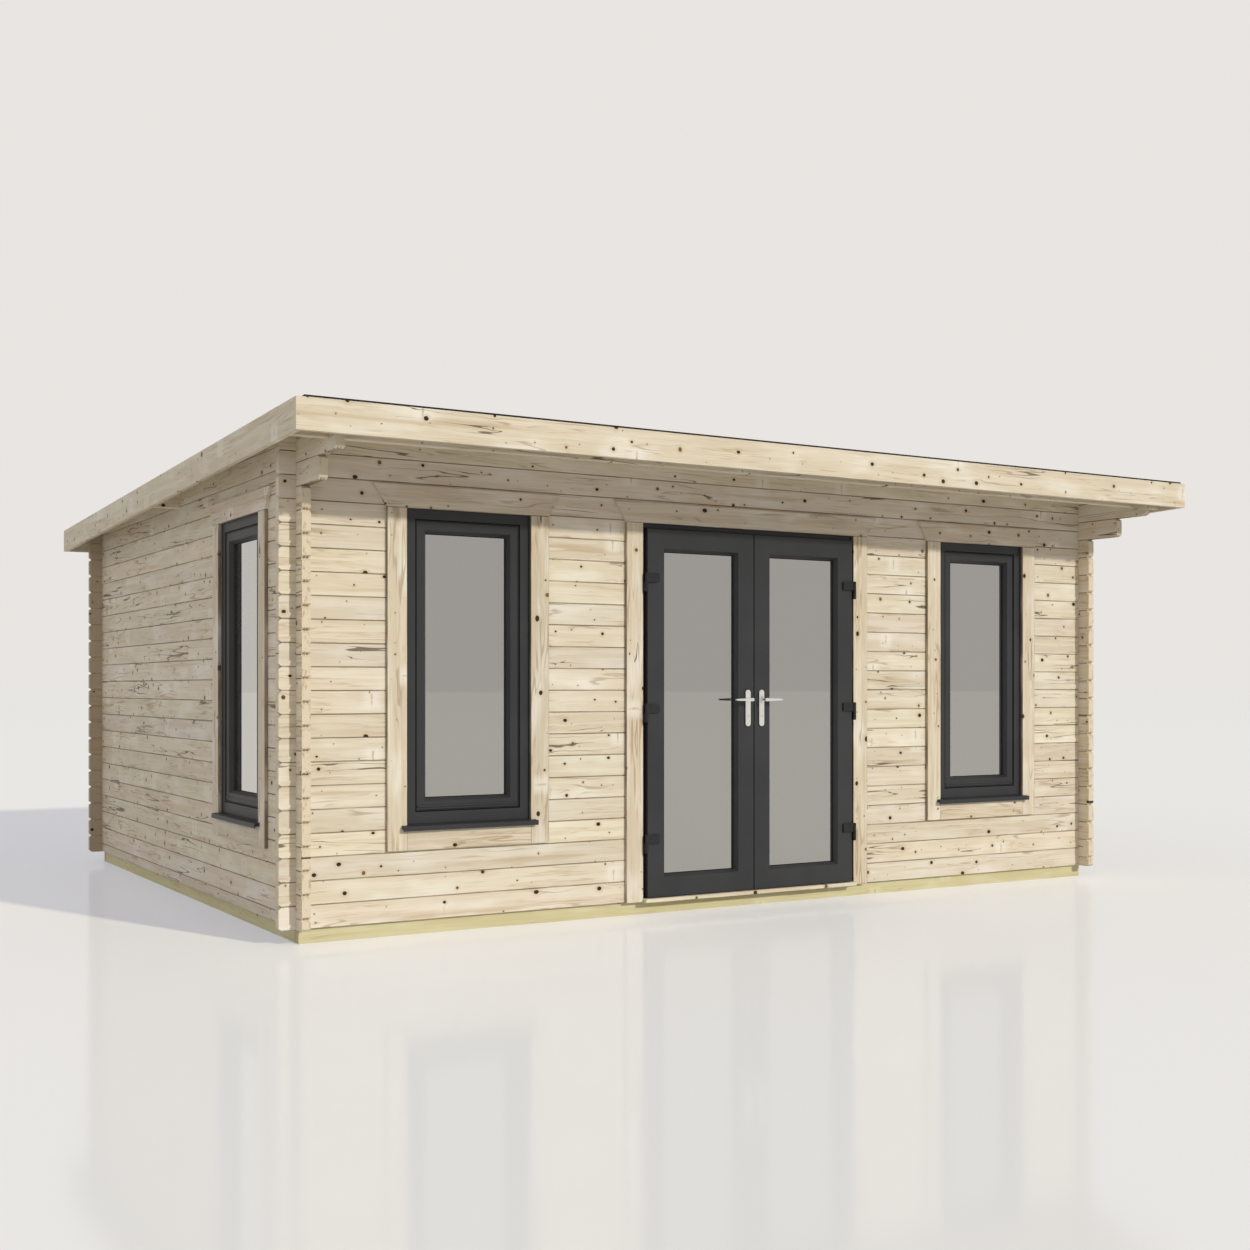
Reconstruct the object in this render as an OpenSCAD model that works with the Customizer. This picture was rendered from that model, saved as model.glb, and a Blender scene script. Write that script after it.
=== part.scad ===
// Garden office cabin of interlocking logs, with a pent roof, glazed double doors and tall windows.
// Lengths are in millimetres. The front faces -Y and the ground is at z = 0.

/* [Walls] */
// Width over the outer faces of the side walls
wall_w = 5324; // [4900:1:5800]
// Depth over the outer faces of the front and back walls
wall_d = 4112; // [3600:1:4600]
// Height of one log
log_h = 114; // [110:1:120]
// Thickness of the logs
log_t = 44; // [40:1:50]
// Length of the log ends past the corners
log_end = 85; // [60:1:100]
// Chamfer along the long edges of the logs
log_groove = 4; // [2:0.5:6]
// Height of the tongues on top of the logs
tongue_h = 8; // [4:1:12]
// Width of one of a log's two tongues
tongue_w = 7; // [5:0.5:9]
// Length of the chamfers above and below the free ends of the logs
end_chamfer = 18; // [8:1:24]
// Height of those chamfers
end_chamfer_h = 13; // [6:1:18]
// Number of whole logs in the front wall
front_logs = 20; // [20:1:21]
// Height of the front wall's top log, which is trimmed to the roof
top_log_h = 104; // [98:1:108]

/* [Corbels] */
// How far the lower corbel log runs forward of the front wall
lower_corbel = 313; // [200:1:380]
// How far the upper corbel logs run forward of the front wall
upper_corbel = 530; // [480:1:550]

/* [Roof] */
// Pitch of the roof, falling from front to back, in degrees
roof_pitch = 1.81; // [1.5:0.01:2.2]
// Overhang of the roof past the front wall
front_overhang = 620; // [590:1:700]
// Overhang of the roof past the back wall
back_overhang = 190; // [150:1:260]
// Overhang of the roof past the side walls
side_overhang = 215; // [160:1:300]
// Thickness of the roof boards
board_t = 19; // [16:1:28]
// Height of the fascias and bargeboards
fascia_h = 148; // [120:1:170]
// Thickness of the fascias and bargeboards
fascia_t = 28; // [18:1:35]
// Thickness of the roof felt
felt_t = 8; // [4:1:12]
// Strip of roof left bare between the felt and the bargeboards
felt_margin = 10; // [4:1:30]
// Height of the middle purlin
purlin_h = 110; // [95:1:125]

/* [Base] */
// Height of the bearers and joists
base_h = 70; // [50:1:100]
// Width of the bearers
bearer_w = 60; // [45:1:80]
// How far the bearers stand back from the wall faces
base_inset = 20; // [5:1:30]
// Width of the floor joists
joist_w = 45; // [38:1:60]
// Largest spacing of the floor joists
joist_pitch = 520; // [400:10:600]
// Thickness of the floor boards
floor_t = 19; // [12:1:28]
// Expansion gap between the floor boards and the walls
floor_gap = 5; // [3:1:10]

/* [Openings] */
// Log course on which the windows stand
sill_course = 4; // [3:1:5]
// Log course that closes the doorway and the windows at the top
head_course = 18; // [17:1:18]
// Packing gap between a frame and the cut logs
packing = 2; // [1:0.5:3]
// Width of the timber trims
trim_w = 105; // [90:1:115]
// Thickness of the timber trims
trim_t = 18; // [12:1:22]
// Height of the head trims
head_trim_h = 112; // [90:1:118]
// How much wider a head trim is at its top, on each side
head_flare = 70; // [20:1:90]
// How far the head trims reach down over the frames
head_lap = 10; // [5:1:14]
// Setback of the door and window frames from the wall face
frame_set = 4; // [2:1:8]

/* [Windows] */
// Width of a window frame
window_w = 700; // [600:1:760]
// Distance of a front window's middle from the side wall's outer face
front_window_x = 909; // [860:1:980]
// Distance of a side window's middle from the front wall's outer face
side_window_y = 865; // [820:1:1200]
// How far the side trims reach over a window frame
window_trim_lap = 5; // [3:1:12]
// Width of a window frame's face
window_frame_w = 58; // [50:1:70]
// Width of a sash's face
sash_w = 66; // [58:1:76]
// How far a sash stands behind its frame's face
sash_set = 6; // [2:1:10]
// Shadow gap round a sash
sash_gap = 3; // [1:0.5:5]
// Height of a window sill
sill_h = 22; // [18:1:30]
// How far a sill stands forward of the wall
sill_proud = 46; // [36:1:60]
// How far a sill runs past the window frame at each end
sill_horn = 25; // [10:1:40]
// Depth of a sill's front edge
sill_nose = 24; // [20:1:32]
// Fall of a sill's top from the frame to the front edge
sill_fall = 7; // [4:1:9]
// Thickness of a sill's drip edge
sill_lip = 6; // [4:1:8]

/* [Doors] */
// Width of one door leaf
leaf_w = 702; // [640:1:760]
// How far the leaves stand forward of the wall face
leaf_proud = 30; // [24:1:36]
// Width of the door frame's jambs and head
jamb_w = 33; // [30:1:50]
// Running gap round the leaves
swing_gap = 5; // [5:0.5:7]
// Gap between the closed leaves
meeting_gap = 6; // [6:0.5:8]
// Bevel that lets a leaf's closing edge swing clear
meeting_bevel = 6; // [5:0.5:8]
// How far the stops reach behind the leaves
stop_lap = 15; // [10:1:25]
// Thickness of the stops
stop_t = 36; // [20:1:44]
// Height of the leaves' lower edge above the wall's foot
leaf_z0 = 22; // [20:1:30]
// Width of the stiles and rails
stile_w = 119; // [105:1:130]
// How far the side trims reach over the door frame
door_trim_lap = 19; // [10:1:24]
// How far the timber threshold stands forward of the wall
threshold_proud = 50; // [30:1:60]
// Height of the timber threshold
threshold_h = 20; // [14:1:22]

/* [Glazing] */
// Thickness of the door leaves and window sashes
profile_t = 70; // [66:1:78]
// Thickness of the glazing units
glass_t = 24; // [20:1:26]
// Distance of the glass behind the face of its leaf or sash
glass_set = 35; // [28:1:38]
// Depth of the groove that holds the glass
glass_groove = 14; // [8:1:18]
// Slope of the bead round the glass, across the face
bead_w = 14; // [8:1:18]
// Depth of the bead's slope
bead_d = 22; // [14:1:24]

/* [Hinges] */
// Distance of the outer hinges from the ends of a leaf
hinge_inset = 290; // [200:1:360]
// Radius of the hinge knuckles
knuckle_r = 9; // [8:0.5:10]
// Height of a whole hinge
hinge_h = 97; // [84:1:110]
// Height of the flag in the upper half of a hinge
flag_h = 48; // [40:1:56]
// Length of a flag from the hinge axis
flag_len = 82; // [60:1:90]
// Thickness of a flag
flag_t = 10; // [6:0.5:12]
// Radius of a flag's corners
flag_corner = 5; // [2:0.5:10]
// Thickness of the flag's cap over the pin
flag_cap = 5; // [3:0.5:8]
// Radius of the hinge pins
pin_r = 4; // [3:0.5:5]
// Width of the arms that carry the fixed knuckles
arm_w = 11; // [8:0.5:11]
// Distance of the hinge axis from the edge of the leaf
pivot_side = 12; // [11:0.5:13]
// Distance of the hinge axis in front of the leaf's face
pivot_out = 10; // [9:0.5:10]

/* [Handles] */
// Height of the lever's axis above the wall's foot
lever_z = 1087; // [950:1:1150]
// Distance of the handles from the closing edge of the leaf
handle_set = 44; // [36:1:56]
// Height of a handle plate
plate_h = 203; // [180:1:230]
// Width of a handle plate
plate_w = 34; // [28:1:40]
// Thickness of a handle plate
plate_t = 9; // [6:1:12]
// Radius of a handle plate's corners
plate_corner = 15; // [3:0.5:16]
// Height of the lever's axis above the middle of its plate
lever_rise = 47; // [30:1:60]
// Length of a lever
lever_len = 112; // [90:1:130]
// Height of a lever's grip
lever_h = 18; // [15:1:20]
// Thickness of a lever's grip
lever_t = 13; // [9:1:16]
// Radius of a lever's tip
lever_tip = 4.5; // [3:0.5:7.5]
// Distance of the grip from its plate
lever_neck = 34; // [28:1:44]
// Radius of the spindle
spindle_r = 4; // [3.5:0.5:5]

/* [Hidden] */
$fn = 48;

// Clearance between pieces that are fastened or laid together
fit = 0.3;
// Radial clearance of a pin or spindle in its bore
running_fit = 0.05;
// Clearance between the knuckles of a hinge
knuckle_gap = 0.5;
// Extra length of a cutter past the face that it cuts
over = 1;
// Thinnest piece of log that is left under the roof
top_min = 12;

// Slope of the roof as a rise over a run
slope = tan(roof_pitch);
// Length that reaches past the whole cabin
far = wall_w + wall_d;
// Depth of a saddle, a quarter of the log
saddle = log_h / 4;
// Rise of the chamfers at the log ends over their run
end_rake = end_chamfer_h / end_chamfer;
// Middles of a log's two tongues, as shares of its thickness
tongue_places = [1 / 3, 2 / 3];

// Roof edges in plan, from the walls' front left corner
roof_x0 = -side_overhang;
roof_x1 = wall_w + side_overhang;
roof_y0 = -front_overhang;
roof_y1 = wall_d + back_overhang;
// Inner face of the left bargeboard, where the purlins end
barge_in = roof_x0 + fascia_t + fit;

// Top courses of the back wall and the side walls
back_top = floor((roof_z(wall_d) - top_min) / log_h);
side_top = floor((roof_z(-upper_corbel) - top_min) / log_h + 0.5);
// Front faces of the two purlins, and the middle one's lower edge
front_purlin_y = log_end - upper_corbel;
mid_purlin_y = (wall_d - log_t) / 2;
mid_purlin_z = roof_z(mid_purlin_y) - purlin_h;

// Heights of the log openings
sill_z = sill_course * log_h;
head_z = head_course * log_h;
head_trim_z = head_z - head_lap;

// Door set, from the middle of the cabin outwards
door_x = wall_w / 2;
leaf_x1 = door_x - meeting_gap / 2;
leaf_x0 = leaf_x1 - leaf_w;
door_x0 = leaf_x0 - swing_gap - jamb_w - packing;
leaf_z1 = head_z - packing - jamb_w - swing_gap;
leaf_back = profile_t - leaf_proud;
frame_back = leaf_back + swing_gap + stop_t;
door_trim_x = door_x0 + door_trim_lap;
pivot_x = leaf_x0 - pivot_side;
pivot_y = -leaf_proud - pivot_out;
hinge_zs = [leaf_z0 + hinge_inset, (leaf_z0 + leaf_z1) / 2, leaf_z1 - hinge_inset];
lever_x = leaf_x1 - handle_set;

// Window set, in its own frame with the wall face at y = 0
frame_z0 = sill_z + sill_h + fit;
frame_z1 = head_z - packing;
sash_x = window_w / 2 - window_frame_w;
sash_z0 = frame_z0 + window_frame_w;
sash_z1 = frame_z1 - window_frame_w;
sash_y = frame_set + sash_set;
window_back = sash_y + profile_t + fit;
trim_in = window_w / 2 - window_trim_lap;
trim_out = trim_in + trim_w;

log_colour = "#dcc79f";
trim_colour = "#d6be92";
treated_colour = "#a99a5f";
board_colour = "#cdb78c";
felt_colour = "#26282a";
upvc_colour = "#3e3e40";
glass_colour = "#9aa09c";
metal_colour = "#c3c5c8";

// Height of the roof boards' underside at a distance behind the front wall's face
function roof_z(y) = front_logs * log_h + top_log_h - slope * y;
// Height of the roof boards' upper side
function roof_top(y) = roof_z(y) + board_t;
// Whether side log j still crosses the back wall under the roof
function crosses_back(j) = (j - 0.25) * log_h + top_min < roof_z(wall_d);
// Front end of side log j
function side_front(j) =
    j == front_logs - 1 ? -lower_corbel :
    j >= front_logs ? -upper_corbel : -log_end;
// Distance at which the roof trims side log j away
function side_runout(j) = (roof_z(0) - (j - 0.5) * log_h - top_min) / slope;
// Back end of side log j
function side_back(j) =
    crosses_back(j) ? wall_d + log_end : min(wall_d - log_t - fit, side_runout(j));
// Step from u0 to u1 that stands h above the level v
function step_outline(u0, u1, v, h) = [[u0, v], [u0, v + h], [u1, v + h], [u1, v]];
// Grooves in a log's underside, from its face at y inwards
function groove_outlines(y, z) = [
    for (share = tongue_places)
        let (middle = y + share * log_t, half = tongue_w / 2 + fit)
            each step_outline(middle - half, middle + half, z, tongue_h + fit)
];
// Tongues on a log's top, from its inner face outwards
function tongue_outlines(y, z) = [
    for (share = tongue_places)
        let (middle = y + (1 - share) * log_t, half = tongue_w / 2)
            each step_outline(middle + half, middle - half, z, tongue_h)
];
// Section of a log with chamfered edges, two tongues and, unless it lies lowest, two grooves
function log_section(y, z0, z1, grooved) = concat(
    [[y, z0 + log_groove], [y + log_groove, z0]],
    grooved ? groove_outlines(y, z0) : [],
    [[y + log_t - log_groove, z0], [y + log_t, z0 + log_groove]],
    [[y + log_t, z1 - log_groove], [y + log_t - log_groove, z1]],
    tongue_outlines(y, z1),
    [[y + log_groove, z1], [y, z1 - log_groove]]
);
// Side view that trims a log to its free ends, chamfered over the lengths a and b
function log_trim(x0, x1, z0, z1, a, b) = concat(
    a > 0 ? [[x0, z0 + a * end_rake], [x0 + a + over / end_rake, z0 - over]] : [[x0, z0 - over]],
    b > 0 ? [[x1 - b - over / end_rake, z0 - over], [x1, z0 + b * end_rake]] : [[x1, z0 - over]],
    b > 0 ? [[x1, z1 - b * end_rake], [x1 - b - log_h / end_rake, z1 + log_h]] : [[x1, z1 + log_h]],
    a > 0 ? [[x0 + a + log_h / end_rake, z1 + log_h], [x0, z1 - a * end_rake]] : [[x0, z1 + log_h]]
);

// Moves the walls' front left corner, at the walls' foot, to its place over the footprint
module in_frame() {
    translate([-wall_w / 2, -(roof_y0 + roof_y1) / 2, base_h]) children();
}

// Turns a left hand piece into its right hand twin
module right_hand() {
    translate([wall_w, 0, 0]) mirror([1, 0, 0]) children();
}

// Block between two opposite corners
module block(a, b) {
    translate(a) cube(b - a);
}

// Extrusions along each axis; outlines are (y, z), (x, z) and (x, y)
module along_x(x0, x1) {
    translate([x0, 0, 0]) rotate([90, 0, 90]) linear_extrude(x1 - x0) children();
}
module along_y(y0, y1) {
    translate([0, y1, 0]) rotate([90, 0, 0]) linear_extrude(y1 - y0) children();
}
module along_z(z0, z1) {
    translate([0, 0, z0]) linear_extrude(z1 - z0) children();
}

// Log along X with free ends chamfered over the lengths a and b
module log_x(x0, x1, y, z0, z1, a, b, grooved) {
    if (a + b > 0) {
        intersection() {
            along_x(x0, x1) polygon(log_section(y, z0, z1, grooved));
            along_y(y - over, y + log_t + over) polygon(log_trim(x0, x1, z0, z1, a, b));
        }
    } else {
        along_x(x0, x1) polygon(log_section(y, z0, z1, grooved));
    }
}

// The same log along Y
module log_y(y0, y1, x, z0, z1, a, b, grooved) {
    translate([x + log_t, 0, 0]) rotate([0, 0, 90]) log_x(y0, y1, 0, z0, z1, a, b, grooved);
}

// Everything above the roof boards' underside
module above_roof() {
    along_x(-far, 2 * far) polygon([
        [-far, roof_z(-far) - fit], [2 * far, roof_z(2 * far) - fit],
        [2 * far, roof_z(-far) + far], [-far, roof_z(-far) + far]
    ]);
}

// Saddles in a front or back log where the side walls cross it
module x_saddles(i, y, upper) {
    for (x = [0, wall_w - log_t]) {
        block([x - fit, y - over, i * log_h - over],
              [x + log_t + fit, y + log_t + over, i * log_h + saddle + fit / 2]);
        if (upper) {
            block([x - fit, y - over, (i + 1) * log_h - saddle - fit / 2],
                  [x + log_t + fit, y + log_t + over, (i + 2) * log_h]);
        }
    }
}

// Saddles in side log j where a log of another wall crosses it at y
module y_saddles(j, y, lower, upper) {
    if (lower) {
        block([-over, y - fit, (j - 1) * log_h],
              [log_t + over, y + log_t + fit, (j - 0.25) * log_h + fit / 2]);
    }
    if (upper) {
        block([-over, y - fit, (j + 0.25) * log_h - fit / 2],
              [log_t + over, y + log_t + fit, (j + 1) * log_h]);
    }
}

// Places a window, drawn about its own middle, in the front wall or in the left wall
module in_front_wall() {
    translate([front_window_x, 0, 0]) children();
}
module in_left_wall() {
    translate([0, side_window_y, 0]) rotate([0, 0, -90]) children();
}

// Hole through the logs for one window, up to the height z1
module window_hole(z1) {
    block([-window_w / 2 - packing, -over, sill_z - fit / 2], [window_w / 2 + packing, log_t + over, z1]);
}

// One front wall log; those under and beside a window lose their tongues there
module front_log(i, x0, x1, a, b) {
    difference() {
        log_x(x0, x1, 0, i * log_h + fit / 2, (i + 1) * log_h - fit / 2, a, b, i > 0);
        x_saddles(i, 0, true);
        if (i >= sill_course - 1 && i < head_course) in_front_wall() window_hole(head_z + log_h);
        if (i >= front_logs) above_roof();
    }
}

// Front wall to the left of the doorway
module front_logs_left() {
    for (i = [0 : head_course - 1]) front_log(i, -log_end, door_x0, end_chamfer, 0);
}

// One back wall log; the topmost one runs out to the bargeboards and carries the roof
module back_log(i) {
    y = wall_d - log_t;
    is_top = i == back_top;
    x0 = is_top ? barge_in : -log_end;
    chamfer = is_top ? 0 : end_chamfer;
    difference() {
        log_x(x0, wall_w - x0, y, i * log_h + fit / 2, (i + 1) * log_h - fit / 2, chamfer, chamfer, i > 0);
        x_saddles(i, y, crosses_back(i + 1));
        if (is_top) above_roof();
    }
}

// One log of the left wall, half a course below the front logs
module side_log(j) {
    z0 = max(0, (j - 0.5) * log_h) + fit / 2;
    z1 = (j + 0.5) * log_h - fit / 2;
    slot_z = mid_purlin_z - fit;
    top = z1 + tongue_h;
    back_chamfer = crosses_back(j) ? end_chamfer : 0;
    difference() {
        log_y(side_front(j), side_back(j), 0, z0, z1, end_chamfer, back_chamfer, j > 0);
        y_saddles(j, 0, j > 0, true);
        y_saddles(j, wall_d - log_t, j > 0, true);
        if (j >= front_logs) y_saddles(j, front_purlin_y, j > front_logs, true);
        if (top > sill_z && z0 < head_z) in_left_wall() window_hole(head_z);
        if (top > roof_z(wall_d + log_end) - over) above_roof();
        if (top > slot_z) {
            block([-over, mid_purlin_y - fit, slot_z],
                  [log_t + over, mid_purlin_y + log_t + fit, roof_z(0) + log_h]);
        }
    }
}

module side_logs() {
    for (j = [0 : side_top]) side_log(j);
}

module front_bearer() {
    color(treated_colour) in_frame()
        block([base_inset, base_inset, -base_h], [wall_w - base_inset, base_inset + bearer_w, 0]);
}

module back_bearer() {
    color(treated_colour) in_frame()
        block([base_inset, wall_d - base_inset - bearer_w, -base_h],
              [wall_w - base_inset, wall_d - base_inset, 0]);
}

module side_bearer() {
    end = base_inset + bearer_w + fit;
    block([base_inset, end, -base_h], [base_inset + bearer_w, wall_d - end, 0]);
}

module left_bearer() {
    color(treated_colour) in_frame() side_bearer();
}

module right_bearer() {
    color(treated_colour) in_frame() right_hand() side_bearer();
}

module floor_joists() {
    end = base_inset + bearer_w + fit;
    bays = ceil((wall_w - 2 * end) / joist_pitch);
    pitch = (wall_w - 2 * end) / bays;
    color(treated_colour) in_frame()
        for (k = [1 : bays - 1]) translate([end + k * pitch - joist_w / 2, 0, 0])
            block([0, end, -base_h], [joist_w, wall_d - end, 0]);
}

module floor() {
    edge = log_t + floor_gap;
    color(board_colour) in_frame() difference() {
        block([edge, edge, fit], [wall_w - edge, wall_d - edge, floor_t]);
        block([door_x0 - fit, 0, -over], [wall_w - door_x0 + fit, frame_back + fit, floor_t + over]);
    }
}

module front_wall_left() {
    color(log_colour) in_frame() front_logs_left();
}

module front_wall_right() {
    color(log_colour) in_frame() right_hand() front_logs_left();
}

module front_wall_top() {
    color(log_colour) in_frame()
        for (i = [head_course : front_logs])
            front_log(i, -log_end, wall_w + log_end, end_chamfer, end_chamfer);
}

module back_wall() {
    color(log_colour) in_frame() for (i = [0 : back_top]) back_log(i);
}

module left_wall() {
    color(log_colour) in_frame() side_logs();
}

module right_wall() {
    color(log_colour) in_frame() right_hand() side_logs();
}

// Two roof beams from bargeboard to bargeboard: one over the corbels, one at mid depth
module purlins() {
    color(log_colour) in_frame() difference() {
        union() {
            log_x(barge_in, wall_w - barge_in, front_purlin_y,
                  front_logs * log_h + fit / 2, (front_logs + 2) * log_h, 0, 0, false);
            log_x(barge_in, wall_w - barge_in, mid_purlin_y,
                  mid_purlin_z, roof_z(mid_purlin_y) + log_h, 0, 0, false);
        }
        x_saddles(front_logs, front_purlin_y, true);
        above_roof();
    }
}

// Outline of a sloping layer between two heights above the boards' underside
module roof_layer(y0, y1, low, high) {
    polygon([
        [y0, roof_z(y0) + low], [y1, roof_z(y1) + low],
        [y1, roof_z(y1) + high], [y0, roof_z(y0) + high]
    ]);
}

module roof_boards() {
    edge = fascia_t + fit;
    color(board_colour) in_frame() along_x(roof_x0 + edge, roof_x1 - edge)
        roof_layer(roof_y0 + edge, roof_y1 - edge, 0, board_t);
}

module roof_felt() {
    edge = fascia_t + felt_margin;
    color(felt_colour) in_frame() along_x(roof_x0 + edge, roof_x1 - edge)
        roof_layer(roof_y0, roof_y1, board_t + fit, board_t + felt_t);
}

// Board across the front or the back, covering the ends of the bargeboards
module fascia(y0) {
    y1 = y0 + fascia_t;
    foot = roof_top(y0) - fascia_h;
    along_x(roof_x0, roof_x1) polygon([[y0, foot], [y1, foot], [y1, roof_top(y1)], [y0, roof_top(y0)]]);
}

module front_fascia() {
    color(trim_colour) in_frame() fascia(roof_y0);
}

module back_fascia() {
    color(trim_colour) in_frame() fascia(roof_y1 - fascia_t);
}

module bargeboard() {
    edge = fascia_t + fit;
    along_x(roof_x0, roof_x0 + fascia_t)
        roof_layer(roof_y0 + edge, roof_y1 - edge, board_t - fascia_h, board_t);
}

module left_bargeboard() {
    color(trim_colour) in_frame() bargeboard();
}

module right_bargeboard() {
    color(trim_colour) in_frame() right_hand() bargeboard();
}

// Block whose section grows towards y0, for the sloping bead round a pane
module flare(x0, x1, z0, z1, y0, y1) {
    grow = bead_w * (1 + over / (y1 - y0));
    front = y0 - over;
    intersection() {
        along_z(z0 - grow, z1 + grow)
            polygon([[x0 - grow, front], [x1 + grow, front], [x1, y1], [x0, y1]]);
        along_x(x0 - grow, x1 + grow)
            polygon([[front, z0 - grow], [y1, z0], [y1, z1], [front, z1 + grow]]);
    }
}

// Opening, bead and glazing groove cut into a leaf or sash whose face is at y
module glazing_cut(x0, x1, z0, z1, y) {
    block([x0, y - over, z0], [x1, y + profile_t + over, z1]);
    flare(x0, x1, z0, z1, y, y + bead_d);
    block([x0 - glass_groove, y + glass_set, z0 - glass_groove],
          [x1 + glass_groove, y + glass_set + glass_t, z1 + glass_groove]);
}

// Glazing unit that sits in that groove
module pane(x0, x1, z0, z1, y) {
    reach = glass_groove - fit;
    block([x0 - reach, y + glass_set + fit, z0 - reach],
          [x1 + reach, y + glass_set + glass_t - fit, z1 + reach]);
}

// Fixed ring of a window
module window_frame() {
    x = window_w / 2;
    difference() {
        block([-x, frame_set, frame_z0], [x, window_back, frame_z1]);
        block([-sash_x, frame_set - over, sash_z0], [sash_x, window_back + over, sash_z1]);
    }
}

// Glazed ring of a window
module window_sash() {
    x = sash_x - fit;
    gap = sash_gap;
    z0 = sash_z0 + fit;
    z1 = sash_z1 - fit;
    difference() {
        block([-x, sash_y, z0], [x, sash_y + profile_t, z1]);
        difference() {
            block([-x - over, sash_y - over, z0 - over], [x + over, sash_y + bead_d, z1 + over]);
            block([-x + gap, sash_y - 2 * over, z0 + gap], [x - gap, sash_y + bead_d + over, z1 - gap]);
        }
        glazing_cut(-x + sash_w, x - sash_w, z0 + sash_w, z1 - sash_w, sash_y);
    }
}

module window_pane() {
    x = sash_x - fit - sash_w;
    pane(-x, x, sash_z0 + fit + sash_w, sash_z1 - fit - sash_w, sash_y);
}

// Sill with a fall, a drip edge and horns in front of the side trims
module window_sill() {
    z0 = sill_z + fit;
    z1 = sill_z + sill_h;
    nose_y = -sill_proud;
    top_z = z1 - sill_fall;
    nose_z = top_z - sill_nose;
    lip_y = nose_y + sill_lip;
    body = trim_in - fit;
    horn = window_w / 2 + sill_horn;
    along_x(-body, body) polygon([
        [log_t, z0], [log_t, z1], [frame_set, z1], [nose_y, top_z],
        [nose_y, nose_z], [lip_y, nose_z], [lip_y, z0]
    ]);
    horn_y = -trim_t - 2 * fit;
    horn_z = z1 - sill_fall * (frame_set - horn_y) / (frame_set - nose_y);
    along_x(-horn, horn) polygon([
        [horn_y, z0], [horn_y, horn_z], [nose_y, top_z],
        [nose_y, nose_z], [lip_y, nose_z], [lip_y, z0]
    ]);
}

// Head trim, wider at its top, over trims that end at half_w
module head_trim(half_w) {
    z1 = head_trim_z + head_trim_h;
    along_y(-trim_t - fit, -fit) polygon([
        [-half_w, head_trim_z], [half_w, head_trim_z],
        [half_w + head_flare, z1], [-half_w - head_flare, z1]
    ]);
}

// Four boards that cover the joint between a window frame and the logs
module window_trim() {
    z0 = sill_z - trim_w;
    for (x = [-trim_out, trim_in])
        block([x, -trim_t - fit, z0], [x + trim_w, -fit, head_trim_z - fit]);
    block([-trim_in + fit, -trim_t - fit, z0], [trim_in - fit, -fit, sill_z]);
    head_trim(trim_out);
}

module front_left_window_frame() {
    color(upvc_colour) in_frame() in_front_wall() window_frame();
}

module front_right_window_frame() {
    color(upvc_colour) in_frame() right_hand() in_front_wall() window_frame();
}

module left_side_window_frame() {
    color(upvc_colour) in_frame() in_left_wall() window_frame();
}

module right_side_window_frame() {
    color(upvc_colour) in_frame() right_hand() in_left_wall() window_frame();
}

module front_left_window_sash() {
    color(upvc_colour) in_frame() in_front_wall() window_sash();
}

module front_right_window_sash() {
    color(upvc_colour) in_frame() right_hand() in_front_wall() window_sash();
}

module left_side_window_sash() {
    color(upvc_colour) in_frame() in_left_wall() window_sash();
}

module right_side_window_sash() {
    color(upvc_colour) in_frame() right_hand() in_left_wall() window_sash();
}

// Repeats a window's piece in all four places
module at_each_window() {
    in_front_wall() children();
    in_left_wall() children();
    right_hand() in_front_wall() children();
    right_hand() in_left_wall() children();
}

module window_glass() {
    color(glass_colour) in_frame() at_each_window() window_pane();
}

module window_sills() {
    color(upvc_colour) in_frame() at_each_window() window_sill();
}

module front_window_trim() {
    color(trim_colour) in_frame() {
        in_front_wall() window_trim();
        right_hand() in_front_wall() window_trim();
    }
}

module side_window_trim() {
    color(trim_colour) in_frame() {
        in_left_wall() window_trim();
        right_hand() in_left_wall() window_trim();
    }
}

// Ring of jambs, head and low sill, rebated for the leaves with stops behind them
module door_frame() {
    x0 = door_x0 + packing;
    rebate_x = leaf_x0 - swing_gap;
    clear_x = leaf_x0 + stop_lap;
    color(upvc_colour) in_frame() difference() {
        block([x0, frame_set, fit], [wall_w - x0, frame_back, head_z - packing]);
        block([rebate_x, frame_set - over, leaf_z0 - swing_gap],
              [wall_w - rebate_x, leaf_back + swing_gap, leaf_z1 + swing_gap]);
        block([clear_x, frame_set - over, leaf_z0 + stop_lap],
              [wall_w - clear_x, frame_back + over, leaf_z1 - stop_lap]);
    }
}

// Timber strip in front of the door frame's sill
module door_threshold() {
    x0 = door_trim_x + fit;
    z1 = leaf_z0 - swing_gap;
    color(trim_colour) in_frame()
        block([x0, -threshold_proud, z1 - threshold_h], [wall_w - x0, frame_set - fit, z1]);
}

module door_trim() {
    color(trim_colour) in_frame() {
        for (x = [door_trim_x - trim_w, wall_w - door_trim_x])
            block([x, -trim_t - fit, 0], [x + trim_w, -fit, head_trim_z - fit]);
        translate([door_x, 0, 0]) head_trim(door_x - door_trim_x + trim_w);
    }
}

// Cylinder along Y at the lever's axis
module on_lever_axis(y0, y1, r) {
    translate([lever_x, y1, lever_z]) rotate([90, 0, 0]) cylinder(h = y1 - y0, r = r);
}

// Left leaf: stiles and rails as one welded ring, with a bevelled closing edge
module leaf() {
    difference() {
        along_z(leaf_z0, leaf_z1) polygon([
            [leaf_x0, -leaf_proud], [leaf_x1, -leaf_proud],
            [leaf_x1 - meeting_bevel, leaf_back], [leaf_x0, leaf_back]
        ]);
        glazing_cut(leaf_x0 + stile_w, leaf_x1 - stile_w, leaf_z0 + stile_w, leaf_z1 - stile_w, -leaf_proud);
        on_lever_axis(-leaf_proud - over, leaf_back + over, spindle_r + over);
    }
}

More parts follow.
